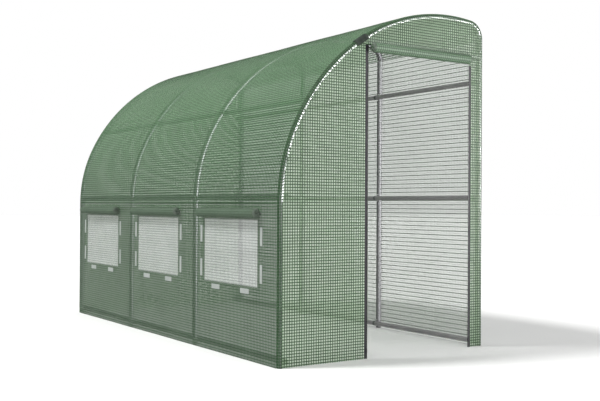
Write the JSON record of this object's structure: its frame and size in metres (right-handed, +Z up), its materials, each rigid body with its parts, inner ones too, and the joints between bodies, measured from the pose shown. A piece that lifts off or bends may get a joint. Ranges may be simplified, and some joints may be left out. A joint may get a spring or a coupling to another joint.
{
  "type": "lean-to polytunnel greenhouse",
  "caption": "Wall-side polytunnel: round tube hoops and rails under a mesh-reinforced green film, with netted windows and a doorway in one end.",
  "frame": {"origin": "middle of the footprint's bounding box, on the ground", "axes": "+X along the tunnel towards the door end, +Y from the curved front to the flat back, +Z up"},
  "size_m": [3.1022, 1.604, 2.0802],
  "materials": {
    "galvanised_tube": "dull zinc coat",
    "steel_fittings": "zinc plated",
    "rubber_plugs": "matt black",
    "green_film": "reinforced polyethylene film, slightly glossy",
    "clear_film": "reinforced clear polyethylene film",
    "rolled_film": "film in several layers, slightly glossy",
    "insect_net": "fine white mesh",
    "hook_tape": "pale hook tape",
    "black_zip": "woven tape and moulded chain"
  },
  "bodies": {
    "root": {"hoop_1_front_leg": "galvanised_tube", "hoop_1_roof_arch": "galvanised_tube", "hoop_1_back_leg": "galvanised_tube", "hoop_2_front_leg": "galvanised_tube", "hoop_2_roof_arch": "galvanised_tube", "hoop_2_back_leg": "galvanised_tube", "hoop_3_front_leg": "galvanised_tube", "hoop_3_roof_arch": "galvanised_tube", "hoop_3_back_leg": "galvanised_tube", "hoop_4_front_leg": "galvanised_tube", "hoop_4_roof_arch": "galvanised_tube", "hoop_4_back_leg": "galvanised_tube", "hoop_sleeves": "steel_fittings", "foot_plugs": "rubber_plugs", "front_base_rail": "galvanised_tube", "front_mid_rail": "galvanised_tube", "front_purlin": "galvanised_tube", "ridge_purlin": "galvanised_tube", "back_top_rail": "galvanised_tube", "back_mid_rail": "galvanised_tube", "back_base_rail": "galvanised_tube", "door_header": "galvanised_tube", "header_sockets": "steel_fittings", "rail_straps": "steel_fittings", "front_film": "green_film", "roof_film": "green_film", "far_end_film": "green_film", "door_end_front_film": "green_film", "door_end_back_film": "green_film", "door_end_top_film": "green_film", "back_film": "clear_film", "door_end_corner_film": "green_film", "far_end_corner_film": "green_film", "door_roll": "rolled_film", "door_zip_front": "black_zip", "door_zip_back": "black_zip", "window_1_flap": "rolled_film", "window_1_net": "insect_net", "window_2_flap": "rolled_film", "window_2_net": "insect_net", "window_3_flap": "rolled_film", "window_3_net": "insect_net", "window_tapes": "hook_tape"}
  },
  "joints": []
}
